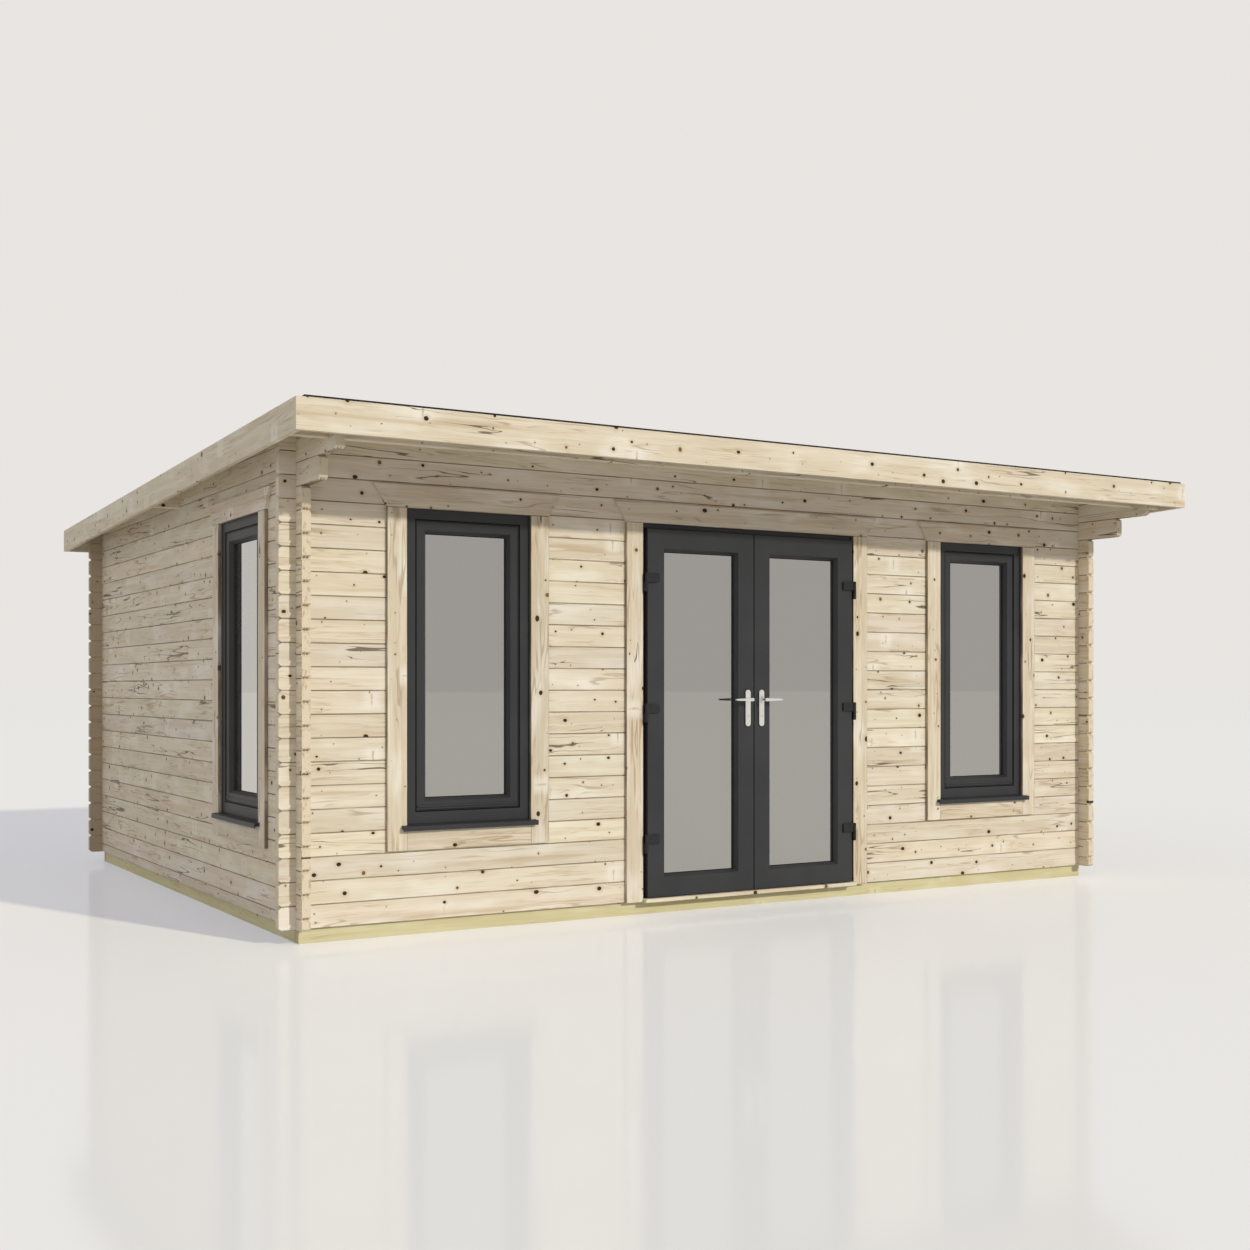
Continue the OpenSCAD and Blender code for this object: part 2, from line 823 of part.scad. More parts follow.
module leaf_pane() {
    pane(leaf_x0 + stile_w, leaf_x1 - stile_w, leaf_z0 + stile_w, leaf_z1 - stile_w, -leaf_proud);
}

// Cylinder on the axis of a hinge
module on_hinge_axis(z0, z1, r) {
    translate([pivot_x, pivot_y, z0]) cylinder(h = z1 - z0, r = r);
}

// Rectangle about its middle with round corners
module rounded(w, h, r) {
    square([w, h - 2 * r], center = true);
    square([w - 2 * r, h], center = true);
    for (x = [-1, 1], y = [-1, 1]) translate([x * (w / 2 - r), y * (h / 2 - r)]) circle(r = r);
}

// Fixed lower half of each hinge: a knuckle with an arm back to the frame, and the pin that stands in it
module brackets() {
    for (z = hinge_zs) {
        foot = z - hinge_h / 2;
        top = z + hinge_h / 2 - flag_h - knuckle_gap;
        on_hinge_axis(foot, z + hinge_h / 2 - flag_cap - knuckle_gap, pin_r);
        on_hinge_axis(foot, top, knuckle_r);
        block([pivot_x + pin_r - arm_w, pivot_y, foot], [pivot_x + pin_r, frame_set - fit, top]);
    }
}

// Moving upper half of each hinge: a capped knuckle that turns on the pin, and its flag on the leaf's face
module flags() {
    y1 = -leaf_proud - fit;
    for (z = hinge_zs) {
        top = z + hinge_h / 2;
        foot = top - flag_h;
        difference() {
            union() {
                on_hinge_axis(foot, top, knuckle_r);
                along_y(y1 - flag_t, y1) translate([pivot_x + flag_len / 2, top - flag_h / 2])
                    rounded(flag_len, flag_h, flag_corner);
            }
            on_hinge_axis(foot - over, top - flag_cap, pin_r + running_fit);
        }
    }
}

// Plates on both faces of the left leaf, bored for the spindle
module plates() {
    for (y0 = [-leaf_proud - fit - plate_t, leaf_back + fit]) difference() {
        along_y(y0, y0 + plate_t) translate([lever_x, lever_z - lever_rise])
            rounded(plate_w, plate_h, plate_corner);
        on_lever_axis(y0 - over, y0 + plate_t + over, spindle_r + running_fit);
    }
}

// Outline of a grip that points away from the closing edge
module grip_outline() {
    r = lever_h / 2;
    tip_x = lever_tip - lever_len;
    circle(r = r);
    translate([tip_x, 0]) circle(r = lever_tip);
    polygon([[0, -r], [0, r], [tip_x, lever_tip], [tip_x, -lever_tip]]);
}

// Both grips of the left leaf on their spindle
module lever() {
    outer = -leaf_proud - 2 * fit - plate_t;
    inner = leaf_back + 2 * fit + plate_t;
    on_lever_axis(outer - lever_neck, inner + lever_neck, spindle_r);
    on_lever_axis(outer - lever_neck, outer, lever_h / 2);
    on_lever_axis(inner, inner + lever_neck, lever_h / 2);
    for (y0 = [outer - lever_neck - lever_t, inner + lever_neck])
        along_y(y0, y0 + lever_t) translate([lever_x, lever_z]) grip_outline();
}

module left_door_leaf() {
    color(upvc_colour) in_frame() leaf();
}

module right_door_leaf() {
    color(upvc_colour) in_frame() right_hand() leaf();
}

module left_door_glass() {
    color(glass_colour) in_frame() leaf_pane();
}

module right_door_glass() {
    color(glass_colour) in_frame() right_hand() leaf_pane();
}

module hinge_brackets() {
    color(upvc_colour) in_frame() {
        brackets();
        right_hand() brackets();
    }
}

module left_hinge_flags() {
    color(upvc_colour) in_frame() flags();
}

module right_hinge_flags() {
    color(upvc_colour) in_frame() right_hand() flags();
}

module left_handle_plates() {
    color(metal_colour) in_frame() plates();
}

module right_handle_plates() {
    color(metal_colour) in_frame() right_hand() plates();
}

module left_door_lever() {
    color(metal_colour) in_frame() lever();
}

module right_door_lever() {
    color(metal_colour) in_frame() right_hand() lever();
}

front_bearer();
back_bearer();
left_bearer();
right_bearer();
floor_joists();
floor();
front_wall_left();
front_wall_right();
front_wall_top();
back_wall();
left_wall();
right_wall();
purlins();
roof_boards();
roof_felt();
front_fascia();
back_fascia();
left_bargeboard();
right_bargeboard();
front_left_window_frame();
front_right_window_frame();
left_side_window_frame();
right_side_window_frame();
front_left_window_sash();
front_right_window_sash();
left_side_window_sash();
right_side_window_sash();
window_glass();
window_sills();
front_window_trim();
side_window_trim();
door_frame();
door_threshold();
door_trim();
left_door_leaf();
right_door_leaf();
left_door_glass();
right_door_glass();
hinge_brackets();
left_hinge_flags();
right_hinge_flags();
left_handle_plates();
right_handle_plates();
left_door_lever();
right_door_lever();
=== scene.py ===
"""Looks, light and camera of the garden office cabin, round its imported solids.

Lengths are in metres, in the frame of the solids: the front faces -Y and the ground is at z = 0.
"""

import math
from collections import namedtuple

import bmesh
import bpy
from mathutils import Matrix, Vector


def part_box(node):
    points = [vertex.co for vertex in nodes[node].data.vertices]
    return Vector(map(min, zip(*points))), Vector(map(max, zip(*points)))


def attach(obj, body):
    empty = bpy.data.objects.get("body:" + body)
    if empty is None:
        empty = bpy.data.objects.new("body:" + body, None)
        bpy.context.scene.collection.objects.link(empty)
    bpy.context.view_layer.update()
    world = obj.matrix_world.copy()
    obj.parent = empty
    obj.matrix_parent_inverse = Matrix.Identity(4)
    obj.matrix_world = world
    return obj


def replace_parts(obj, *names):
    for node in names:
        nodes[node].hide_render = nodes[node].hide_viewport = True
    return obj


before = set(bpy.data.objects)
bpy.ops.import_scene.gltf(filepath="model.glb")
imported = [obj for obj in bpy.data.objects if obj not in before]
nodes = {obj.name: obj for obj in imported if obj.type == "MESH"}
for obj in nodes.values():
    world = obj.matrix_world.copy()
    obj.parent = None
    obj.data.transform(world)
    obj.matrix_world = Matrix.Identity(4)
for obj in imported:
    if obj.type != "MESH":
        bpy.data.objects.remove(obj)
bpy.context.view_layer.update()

# Walls, measured from their front left corner at the walls' foot
WALL_W, WALL_D = 5.324, 4.112
CORNER = Vector((-WALL_W / 2, -1.841, 0.070))
LOG_H = 0.114
DOOR_X = WALL_W / 2

# Roof: slope from front to back and thickness of its boards; boards in the roof and the floor
SLOPE = math.tan(math.radians(1.81))
ROOF_Z = 2.384
BOARD_T = 0.019
ROOF_BOARDS, FLOOR_BOARDS = 60, 36

# Openings
WINDOW_X, WINDOW_Y = 0.909, 0.865
HEAD_TRIM_Z = 2.042
SILL_Z = 0.456
TRIM_IN = 0.345
PANE_HALF_W, PANE_Z0, PANE_Z1 = 0.2257, 0.6026, 1.9257
PANE_FRONT, PANE_BACK = 0.0453, 0.0687
SASH_HALF_W, SASH_Z0, SASH_Z1, SASH_FACE = 0.2887, 0.5396, 1.9887, 0.010
LEAF_X0, LEAF_X1, LEAF_Z0, LEAF_Z1 = 1.957, 2.659, 0.022, 2.012
STILE_W = 0.119
DOOR_PANE_FRONT, DOOR_PANE_BACK = 0.0053, 0.0287
TRIM_W, TRIM_FACE = 0.105, -0.0183
DOOR_TRIM_X = 1.8835
DOOR_TRIM_IN = DOOR_X - DOOR_TRIM_X - TRIM_W / 2

# Door furniture
HANDLE_X, LEVER_Z = 2.615, 1.087
PLATE_MID_Z, PLATE_H = 1.040, 0.203
PLATE_FACES = ((-0.0393, -1), (0.0493, 1))
LOCK_DROP = 0.092
HINGE_X, HINGE_Y, HINGE_H = 1.945, -0.040, 0.097
HINGE_ZS = (0.312, 1.017, 1.722)

# Camera of the photograph
CAMERA_AT = (-5.107, -8.868, 1.226)
CAMERA_TURN = -30.393
CAMERA_LENS, CAMERA_SENSOR = 44.2, 36.0
CAMERA_SHIFT = (0.02, 0.0498)

# Light: a low sun from the front right, a broad fill from the left and an even pale studio
SUN_TRAVEL, SUN_COLOUR = (-0.386, 1.0, -0.484), (1.0, 0.985, 0.955)
SUN_STRENGTH, SUN_SIZE = 2.065, 2.4
FILL_TRAVEL, FILL_COLOUR = (1.0, 0.25, -0.35), (0.985, 0.970, 1.01)
FILL_STRENGTH, FILL_SIZE = 0.325, 80.0
AMBIENT, AMBIENT_COLOUR = 0.40, (1.0, 0.99, 1.045)
BACKDROP = (0.815, 0.783, 0.758)
FLOOR_BOUNCE, FLOOR_SEEN = (0.765, 0.785, 0.805), (0.885, 0.830, 0.640)
FLOOR_GLOSS, FLOOR_ROUGH = 0.13, 0.10
FLOOR_HAZE, FLOOR_MIRRORED_HAZE = (0.186, 0.220, 0.318), (0.300, 0.318, 0.390)


class Value:
    """A number worked out in a material; arithmetic on it adds Math nodes."""

    def __init__(self, graph, socket):
        self.graph = graph
        self.socket = socket

    def __add__(self, other):
        return self.graph.math("ADD", self, other)

    def __radd__(self, other):
        return self.graph.math("ADD", other, self)

    def __sub__(self, other):
        return self.graph.math("SUBTRACT", self, other)

    def __rsub__(self, other):
        return self.graph.math("SUBTRACT", other, self)

    def __mul__(self, other):
        return self.graph.math("MULTIPLY", self, other)

    def __rmul__(self, other):
        return self.graph.math("MULTIPLY", other, self)

    def __truediv__(self, other):
        return self.graph.math("DIVIDE", self, other)

    def __pow__(self, other):
        return self.graph.math("POWER", self, other)

    def __abs__(self):
        return self.graph.math("ABSOLUTE", self)


class Graph:
    """Short calls that build a node tree; inputs are numbers, colours, sockets or Values."""

    def __init__(self, tree):
        self.tree = tree
        tree.nodes.clear()

    def put(self, socket, value):
        if isinstance(value, Value):
            value = value.socket
        if isinstance(value, bpy.types.NodeSocket):
            self.tree.links.new(value, socket)
        elif isinstance(value, tuple) and socket.type == "RGBA":
            socket.default_value = (*value, 1.0)
        else:
            socket.default_value = value

    def node(self, kind, inputs=None, **settings):
        made = self.tree.nodes.new("ShaderNode" + kind)
        for name, value in settings.items():
            setattr(made, name, value)
        for name, value in (inputs or {}).items():
            self.put(made.inputs[name], value)
        return made

    def math(self, operation, *values):
        made = self.node("Math", operation=operation)
        for socket, value in zip(made.inputs, values):
            self.put(socket, value)
        return Value(self, made.outputs[0])

    def largest(self, a, b):
        return self.math("MAXIMUM", a, b)

    def smallest(self, a, b):
        return self.math("MINIMUM", a, b)

    def above(self, a, b):
        return self.math("GREATER_THAN", a, b)

    def bell(self, value):
        """1 where value is 0, falling to 0 as it grows either way."""
        return self.math("EXPONENT", value * value * -1.0)

    def ramp(self, value, low, high):
        """0 at low, 1 at high, smooth between them."""
        made = self.node("MapRange", interpolation_type="SMOOTHSTEP")
        for name, number in (("Value", value), ("From Min", low), ("From Max", high)):
            self.put(made.inputs[name], number)
        return Value(self, made.outputs[0])

    def blend(self, share, a, b):
        """Number from a to b by share."""
        return a + (b - a) * share

    def tint(self, share, a, b, mode="MIX"):
        """Colour from a to b by share."""
        made = self.node("Mix", data_type="RGBA", blend_type=mode)
        self.put(made.inputs[0], share)
        self.put(made.inputs[6], a)
        self.put(made.inputs[7], b)
        return made.outputs[2]

    def vector(self, x, y, z):
        return self.node("CombineXYZ", {"X": x, "Y": y, "Z": z}).outputs[0]

    def split(self, vector):
        made = self.node("SeparateXYZ", {"Vector": vector})
        return [Value(self, s) for s in made.outputs]

    def place(self):
        """Position in the frame of the solids."""
        return self.split(self.node("TexCoord").outputs["Object"])

    def dice(self, number):
        """Three random numbers that belong to a whole number."""
        made = self.node("TexWhiteNoise", {"W": number}, noise_dimensions="1D")
        return self.split(made.outputs["Color"])

    def noise(self, x, y, z, detail=2.0, rough=0.5):
        made = self.node("TexNoise", {"Vector": self.vector(x, y, z), "Scale": 1.0,
                                      "Detail": detail, "Roughness": rough})
        return Value(self, made.outputs[0])

    def cells(self, x, y, scale):
        """Nearest of many scattered points: its offset and three random numbers of its own."""
        made = self.node("TexVoronoi", {"Vector": self.vector(x, y, 0.0), "Scale": scale},
                         voronoi_dimensions="2D", feature="F1")
        at = self.split(made.outputs["Position"])
        return x - at[0], y - at[1], self.split(made.outputs["Color"])

    def bump(self, height, normal=None):
        made = self.node("Bump", {"Strength": 1.0, "Distance": 1.0, "Height": height})
        if normal is not None:
            self.put(made.inputs["Normal"], normal)
        return made.outputs[0]

    def surface(self, **inputs):
        names = {name.replace("_", " "): value for name, value in inputs.items()}
        shader = self.node("BsdfPrincipled", names)
        self.output(shader.outputs[0])

    def output(self, shader, kind="OutputMaterial"):
        self.put(self.node(kind).inputs["Surface"], shader)


def new_material(name):
    """Empty material and the graph that fills it."""
    material = bpy.data.materials.new(name)
    material.use_nodes = True
    return material, Graph(material.node_tree)


Wood = namedtuple("Wood", "light mid tan pale end_light end_dark knot_share knot_small knot_large "
                          "split_from wave_from contrast")
SPRUCE = Wood((0.805, 0.725, 0.575), (0.725, 0.632, 0.472), (0.56, 0.425, 0.255), (0.865, 0.81, 0.69),
              (0.79, 0.69, 0.51), (0.64, 0.51, 0.33), 0.80, 0.0024, 0.0115, 0.590, 0.56, 1.1)
SIDE_SPRUCE = SPRUCE._replace(split_from=0.560, wave_from=0.53, contrast=1.5)
# On the back wall the end colours are darker: painted shade of the back corners, where its log ends
# stand out past the side walls.
BACK_SPRUCE = SPRUCE._replace(end_light=(0.52, 0.43, 0.31), end_dark=(0.38, 0.30, 0.20))
PLANED = SPRUCE._replace(knot_share=0.80, knot_large=0.0130, split_from=0.65, contrast=1.9)
TRIM = PLANED._replace(light=(0.755, 0.675, 0.525), mid=(0.665, 0.570, 0.415), wave_from=0.49,
                       contrast=2.3)
TREATED = Wood((0.690, 0.640, 0.370), (0.635, 0.575, 0.310), (0.525, 0.435, 0.20), (0.735, 0.695, 0.445),
               (0.60, 0.53, 0.30), (0.45, 0.36, 0.17), 0.30, 0.004, 0.014, 0.78, 0.62, 0.9)
KNOT_BLACK, KNOT_BROWN = (0.030, 0.017, 0.010), (0.17, 0.095, 0.045)
SPLIT_DARK = (0.085, 0.052, 0.030)
SPIKE_BROWN = (0.47, 0.31, 0.155)
WAVE_BROWN = (0.33, 0.205, 0.105)
# Colour of the dark line along board joints: painted shade of the groove, with some dirt
GROOVE_SHADE_AND_DIRT = (0.170, 0.118, 0.068)

KNOT_CELL = 0.125
SPIKE_CELL, SPIKE_SQUEEZE = 0.30, 0.55
RING_PITCH, END_RING_PITCH = 0.0042, 0.0036
WAVE_LINES = 6.5

# Steps that set the boards of one material apart from those of another, and from each other
SEED_STEP, PAIR_STEP = 71.0, 17.0
SHIFT_ALONG, SHIFT_ACROSS = 40, 30


def softwood(g, wood, u, v, w, dice, edge=None, end=None):
    """Planed softwood with u along the grain, v across the face and w into the wood.

    dice are three random numbers of the board, edge the distance to its nearest joint and end a mask
    of its sawn ends.
    """
    # Round knots, and the grain that bends round them
    du, dv, knot = g.cells(u, v, 1 / KNOT_CELL)
    is_knot = g.above(wood.knot_share, knot[1])
    radius = (wood.knot_small + (wood.knot_large - wood.knot_small) * knot[0] ** 2.2) * is_knot
    wobble = (g.noise(u * 190, v * 190, w * 190, 1.0) - 0.5) * 0.0030
    stretched = du * (0.7 + 0.45 * knot[2])
    distance = g.math("SQRT", stretched * stretched + dv * dv) + wobble
    core = g.ramp(radius - distance, -0.0007, 0.0013) * is_knot
    halo = g.bell(g.largest(distance - radius, 0.0) / (radius * 1.1 + 0.0003))
    bend = g.bell(du / (radius * 3.4 + 0.002)) * g.bell(dv / (radius * 2.6 + 0.002))
    vg = v - dv * bend * 0.7

    # Growth rings round a heart that lies behind the face
    drift = (g.noise(u * 0.8, dice[0] * 9, 0.0, 1.0) - 0.5) * 0.06
    across = vg + drift - (dice[0] - 0.5) * 0.16
    deep = w + 0.035 + dice[1] * 0.07
    heart = g.math("SQRT", across * across + deep * deep)
    rings = g.math("SINE", heart * (2 * math.pi / RING_PITCH)) * 0.5 + 0.5
    fibre = g.noise(u * 5, vg * 260, w * 260, 2.0)
    flow = g.noise(u * 1.1, vg * 30, w * 30, 3.0, 0.6)
    cloud = g.noise(u * 2.6, v * 7, w * 7 + 31, 2.0)

    colour = g.tint(g.ramp(flow, 0.32, 0.66), wood.light, wood.mid)
    colour = g.tint(rings * rings * (0.20 * wood.contrast), colour, wood.tan)
    colour = g.tint(g.ramp(cloud, 0.50, 0.72) * 0.6, colour, wood.pale)
    streak = g.ramp(g.noise(u * 1.0, vg * 17 + 9, w * 17, 2.0), 0.585, 0.75)
    colour = g.tint(streak * 0.6, colour, wood.tan)
    band = g.ramp(abs(flow - 0.5), 0.028, 0.0) * g.ramp(cloud, 0.52, 0.38)
    colour = g.tint(band * 0.45, colour, SPIKE_BROWN)
    shade = 0.93 + 0.11 * dice[2] + (fibre - 0.5) * (0.18 * wood.contrast)
    colour = g.tint(1.0, colour, g.vector(shade, shade * (0.985 + 0.025 * dice[0]),
                                          shade * (0.95 + 0.07 * dice[1])), "MULTIPLY")

    # Dark wavy lines of late wood, in patches
    waves = g.math("FRACT", g.noise(u * 1.8 + 23, vg * 19, w * 19, 1.5) * WAVE_LINES)
    patch = g.ramp(g.noise(u * 1.9 + 7, v * 13, w * 13, 1.0), wood.wave_from, wood.wave_from + 0.14)
    wave = g.ramp(abs(waves - 0.5), 0.20, 0.05) * patch * (0.45 + 0.55 * fibre)
    colour = g.tint(wave * 0.72, colour, WAVE_BROWN)

    # Spike knots across the grain, ragged and soft, with pale wood beside them
    su, sv, spike = g.cells(u + 3.7, v * SPIKE_SQUEEZE, 1 / SPIKE_CELL)
    sv = sv / SPIKE_SQUEEZE
    ragged = g.noise(u * 28 + 11, v * 55, w * 55, 2.0)
    present = g.ramp(spike[0], 0.42, 0.62)
    reach = g.ramp(abs(sv), 0.040, 0.018)
    width = 0.0038 + 0.085 * sv + (ragged - 0.5) * 0.012
    mark = g.ramp(abs(su) - width, 0.0045, -0.0030) * reach * present
    flank = g.ramp(abs(su), 0.070, 0.016) * g.ramp(abs(sv), 0.055, 0.030) * present
    colour = g.tint(flank * 0.6, colour, wood.pale)
    colour = g.tint(mark * (0.30 + 0.45 * ragged), colour, SPIKE_BROWN)

    # Drying splits along the grain
    place = g.ramp(g.noise(u * 1.25 + 17, v * 8, w * 8, 1.0), wood.split_from, wood.split_from + 0.13)
    line = abs(g.noise(u * 1.5, vg * 27 + 5, w * 27, 1.0) - 0.5) / (place * 0.030 + 0.0004)
    crack = g.ramp(line, 1.0, 0.35) * g.ramp(place, 0.0, 0.12)
    colour = g.tint(halo * 0.42, colour, wood.tan)
    colour = g.tint(crack * 0.80, colour, SPLIT_DARK)
    colour = g.tint(core, colour, g.tint(g.ramp(knot[2], 0.55, 0.75), KNOT_BLACK, KNOT_BROWN))

    height = fibre * 0.00010 + rings * 0.00010 - crack * 0.0008 - core * 0.0004
    # Dark line along each joint, patchy along its length: painted shade in the groove between boards,
    # with some dirt.
    if edge is not None:
        patchy = g.noise(u * 3.2, dice[1] * 40, 0.0, 2.0)
        joint = g.ramp(edge, 0.0044, 0.0008) * g.ramp(patchy, 0.15, 0.62)
        colour = g.tint(joint * 0.85, colour, GROOVE_SHADE_AND_DIRT)
    if end is not None:
        grown = g.math("SINE", heart * (2 * math.pi / END_RING_PITCH)) * 0.5 + 0.5
        sawn = g.tint(grown * 0.7, wood.end_light, wood.end_dark)
        stain = g.ramp(g.noise(v * 22, w * 60, dice[0] * 20, 2.0), 0.56, 0.70)
        colour = g.tint(end * (1.0 - core), colour, g.tint(stain * 0.65, sawn, SPIKE_BROWN))
    rough = 0.60 + (fibre - 0.5) * 0.2 - core * 0.15
    g.surface(Base_Color=colour, Roughness=rough, Specular_IOR_Level=0.30, Normal=g.bump(height))


AXES = {"x": 0, "y": 1, "z": 2}


def sawn_end(g, along):
    """Mask of the faces that cross the grain."""
    normal = g.split(g.node("NewGeometry").outputs["True Normal"])
    return g.ramp(abs(normal[AXES[along]]), 0.45, 0.65)


def plank_wood(name, wood, along, across, foot=0.0, pitch=10.0, face=0.0, seed=0, jointed=True,
               corner_shade_from=None):
    """Wood of planks that lie side by side from foot on, each pitch wide, with its face at face.

    The last argument is the distance from the middle beyond which every face of the log ends takes the
    end colours: painted shade of the corners where they stand out.
    """
    material, g = new_material(name)
    at = g.place()
    deep = ({"x", "y", "z"} - {along, across}).pop()
    u, v, w = at[AXES[along]], at[AXES[across]] - foot, at[AXES[deep]] - face
    index = g.math("FLOOR", v / pitch)
    dice = g.dice(index + seed * SEED_STEP)
    inside = v - index * pitch
    edge = g.smallest(inside, pitch - inside) if jointed else None
    end = sawn_end(g, along)
    # Log ends past that distance: painted shade of the corners.
    if corner_shade_from:
        end = g.largest(end, g.above(abs(u), corner_shade_from))
    softwood(g, wood, u + dice[0] * SHIFT_ALONG, inside + dice[1] * SHIFT_ACROSS, abs(w), dice,
             edge, end)
    return material


def trim_wood(name, wood, across, centre, inner, mirrored, seed):
    """Wood of the boards round an opening: upright ones beside it, level ones over and under it.

    centre is the opening's middle and inner the distance from there to the upright boards.
    """
    material, g = new_material(name)
    at = g.place()
    side = at[AXES[across]]
    other = at[0] if across == "y" else at[1]
    local = (abs(side) if mirrored else side) - centre
    head = g.above(at[2], CORNER.z + HEAD_TRIM_Z - 0.0002)
    foot = g.above(CORNER.z + SILL_Z + 0.0005, at[2]) * g.above(inner, abs(local))
    level = g.largest(head, foot)
    # Distances to the boards' edges and to the head trim's lower edge; the dark line they give is
    # painted shade of the gaps round the boards.
    beside = abs(local) - inner
    over = abs(at[2] - (CORNER.z + HEAD_TRIM_Z))
    edge = g.smallest(over, g.blend(level, g.smallest(beside, TRIM_W - beside), 1.0))
    u = g.blend(level, at[2], side)
    v = g.blend(level, side, at[2])
    number = g.math("SIGN", local) * (1.0 - level) + head * 5.0 + foot * 9.0
    if centre:
        number = number + g.math("SIGN", at[0]) * PAIR_STEP
    dice = g.dice(number + seed * SEED_STEP)
    softwood(g, wood, u + dice[0] * SHIFT_ALONG, v + dice[1] * SHIFT_ACROSS, abs(other), dice,
             edge * 1.3)
    return material


def felt_material():
    """Black roofing felt with mineral grit."""
    material, g = new_material("mineral_felt")
    x, y, z = g.place()
    grit = g.noise(x * 420, y * 420, z * 420, 3.0, 0.7)
    patch = g.noise(x * 2.2, y * 2.2, z * 2.2, 3.0)
    colour = g.tint(g.ramp(grit, 0.40, 0.72), (0.006, 0.006, 0.007), (0.075, 0.077, 0.080))
    colour = g.tint(g.ramp(patch, 0.35, 0.70) * 0.35, colour, (0.012, 0.012, 0.012))
    g.surface(Base_Color=colour, Roughness=0.93, Specular_IOR_Level=0.2, Normal=g.bump(grit * 0.0009))
    return material


def upvc_material():
    """Anthracite foil with a fine embossed grain."""
    material, g = new_material("anthracite_foil")
    x, y, z = g.place()
    emboss = g.noise((x + y) * 1500, (x - y) * 1500, z * 160, 2.0)
    broad = g.noise(x * 3, y * 3, z * 3, 2.0)
    colour = g.tint(g.ramp(broad, 0.3, 0.7), (0.0340, 0.0350, 0.0360), (0.0410, 0.0417, 0.0425))
    rough = 0.50 + (emboss - 0.5) * 0.22
    rounded = g.node("Bevel", {"Radius": 0.0016}, samples=4).outputs[0]
    g.surface(Base_Color=colour, Roughness=rough, Specular_IOR_Level=0.28,
              Normal=g.bump(emboss * 0.00003, rounded))
    return material


def hinge_material():
    """Dark paint with a slight orange peel."""
    material, g = new_material("hinge_coat")
    x, y, z = g.place()
    peel = g.noise(x * 700, y * 700, z * 700, 2.0)
    colour = g.tint(g.ramp(peel, 0.35, 0.65), (0.021, 0.0215, 0.0220), (0.028, 0.0285, 0.0290))
    g.surface(Base_Color=colour, Roughness=0.55 + (peel - 0.5) * 0.2, Specular_IOR_Level=0.25,
              Normal=g.bump(peel * 0.00004))
    return material


def chrome_material():
    """Satin metal, brushed along the plates."""
    material, g = new_material("satin_chrome")
    x, y, z = g.place()
    brushed = g.noise(x * 1800, y * 1800, z * 25, 2.0)
    colour = g.tint(g.ramp(brushed, 0.3, 0.7), (0.74, 0.73, 0.71), (0.84, 0.83, 0.81))
    g.surface(Base_Color=colour, Metallic=1.0, Roughness=0.20 + brushed * 0.16,
              Normal=g.bump(brushed * 0.00001))
    return material


def zinc_material():
    """Galvanised nail heads."""
    material, g = new_material("zinc_nails")
    x, y, z = g.place()
    spangle = g.noise(x * 900, y * 900, z * 900, 2.0)
    colour = g.tint(g.ramp(spangle, 0.35, 0.65), (0.30, 0.30, 0.30), (0.52, 0.52, 0.53))
    g.surface(Base_Color=colour, Metallic=1.0, Roughness=0.38 + spangle * 0.2)
    return material


def rubber_material():
    """Black seals."""
    material, g = new_material("seal_rubber")
    x, y, z = g.place()
    grain = g.noise(x * 600, y * 600, z * 600, 2.0)
    colour = g.tint(grain, (0.008, 0.008, 0.008), (0.016, 0.016, 0.016))
    g.surface(Base_Color=colour, Roughness=0.55 + grain * 0.2, Specular_IOR_Level=0.3)
    return material


def glass_material():
    """Solar control glass: a strong even reflection over a dark, nearly opaque body, which is painted
    shade of the dim room behind it.
    """
    material, g = new_material("glass_over_painted_shade")
    x, y, z = g.place()
    film = g.noise(x * 9, y * 9, z * 9, 3.0)
    slant = Value(g, g.node("LayerWeight", {"Blend": 0.5}).outputs["Facing"])
    index = 3.8 + g.ramp(slant, 0.35, 0.75) * 3.4
    # Alpha 0.88 over the dark base colour: painted shade of the room behind the glass.
    g.surface(Base_Color=(0.035, 0.035, 0.033), Roughness=0.012 + film * 0.02, IOR=index, Alpha=0.88,
              Specular_Tint=(0.980, 0.962, 0.905), Coat_Weight=1.0, Coat_IOR=2.2, Coat_Roughness=0.01)
    return material


def assign(material, *names):
    """Gives CAD nodes a finish."""
    for name in names:
        slots = nodes[name].data.materials
        for i in range(len(slots)):
            slots[i] = material


def shade_smooth_group():
    """Geometry nodes that shade a mesh smoothly."""
    group = bpy.data.node_groups.new("shade_smooth", "GeometryNodeTree")
    for side in ("INPUT", "OUTPUT"):
        group.interface.new_socket("Geometry", in_out=side, socket_type="NodeSocketGeometry")
    kinds = ("NodeGroupInput", "GeometryNodeSetShadeSmooth", "NodeGroupOutput")
    first, smooth, last = [group.nodes.new(kind) for kind in kinds]
    group.links.new(first.outputs[0], smooth.inputs["Geometry"])
    group.links.new(smooth.outputs[0], last.inputs[0])
    return group


def soften(width, *names, segments=2, curved=False):
    """Rounds the long edges of CAD nodes, which are sharp in the solids; curved ones shade smoothly."""
    for name in names:
        mods = nodes[name].modifiers
        weld = mods.new("weld", "WELD")
        weld.merge_threshold = 0.00002
        if curved:
            mods.new("smooth", "NODES").node_group = SMOOTH
        edge = mods.new("edge", "BEVEL")
        edge.width = width
        edge.segments = segments
        edge.limit_method = "ANGLE"
        edge.angle_limit = math.radians(32)
        edge.harden_normals = curved


def roof_z(y):
    """Underside of the roof boards, y metres behind the front wall's face."""
    return ROOF_Z - SLOPE * y


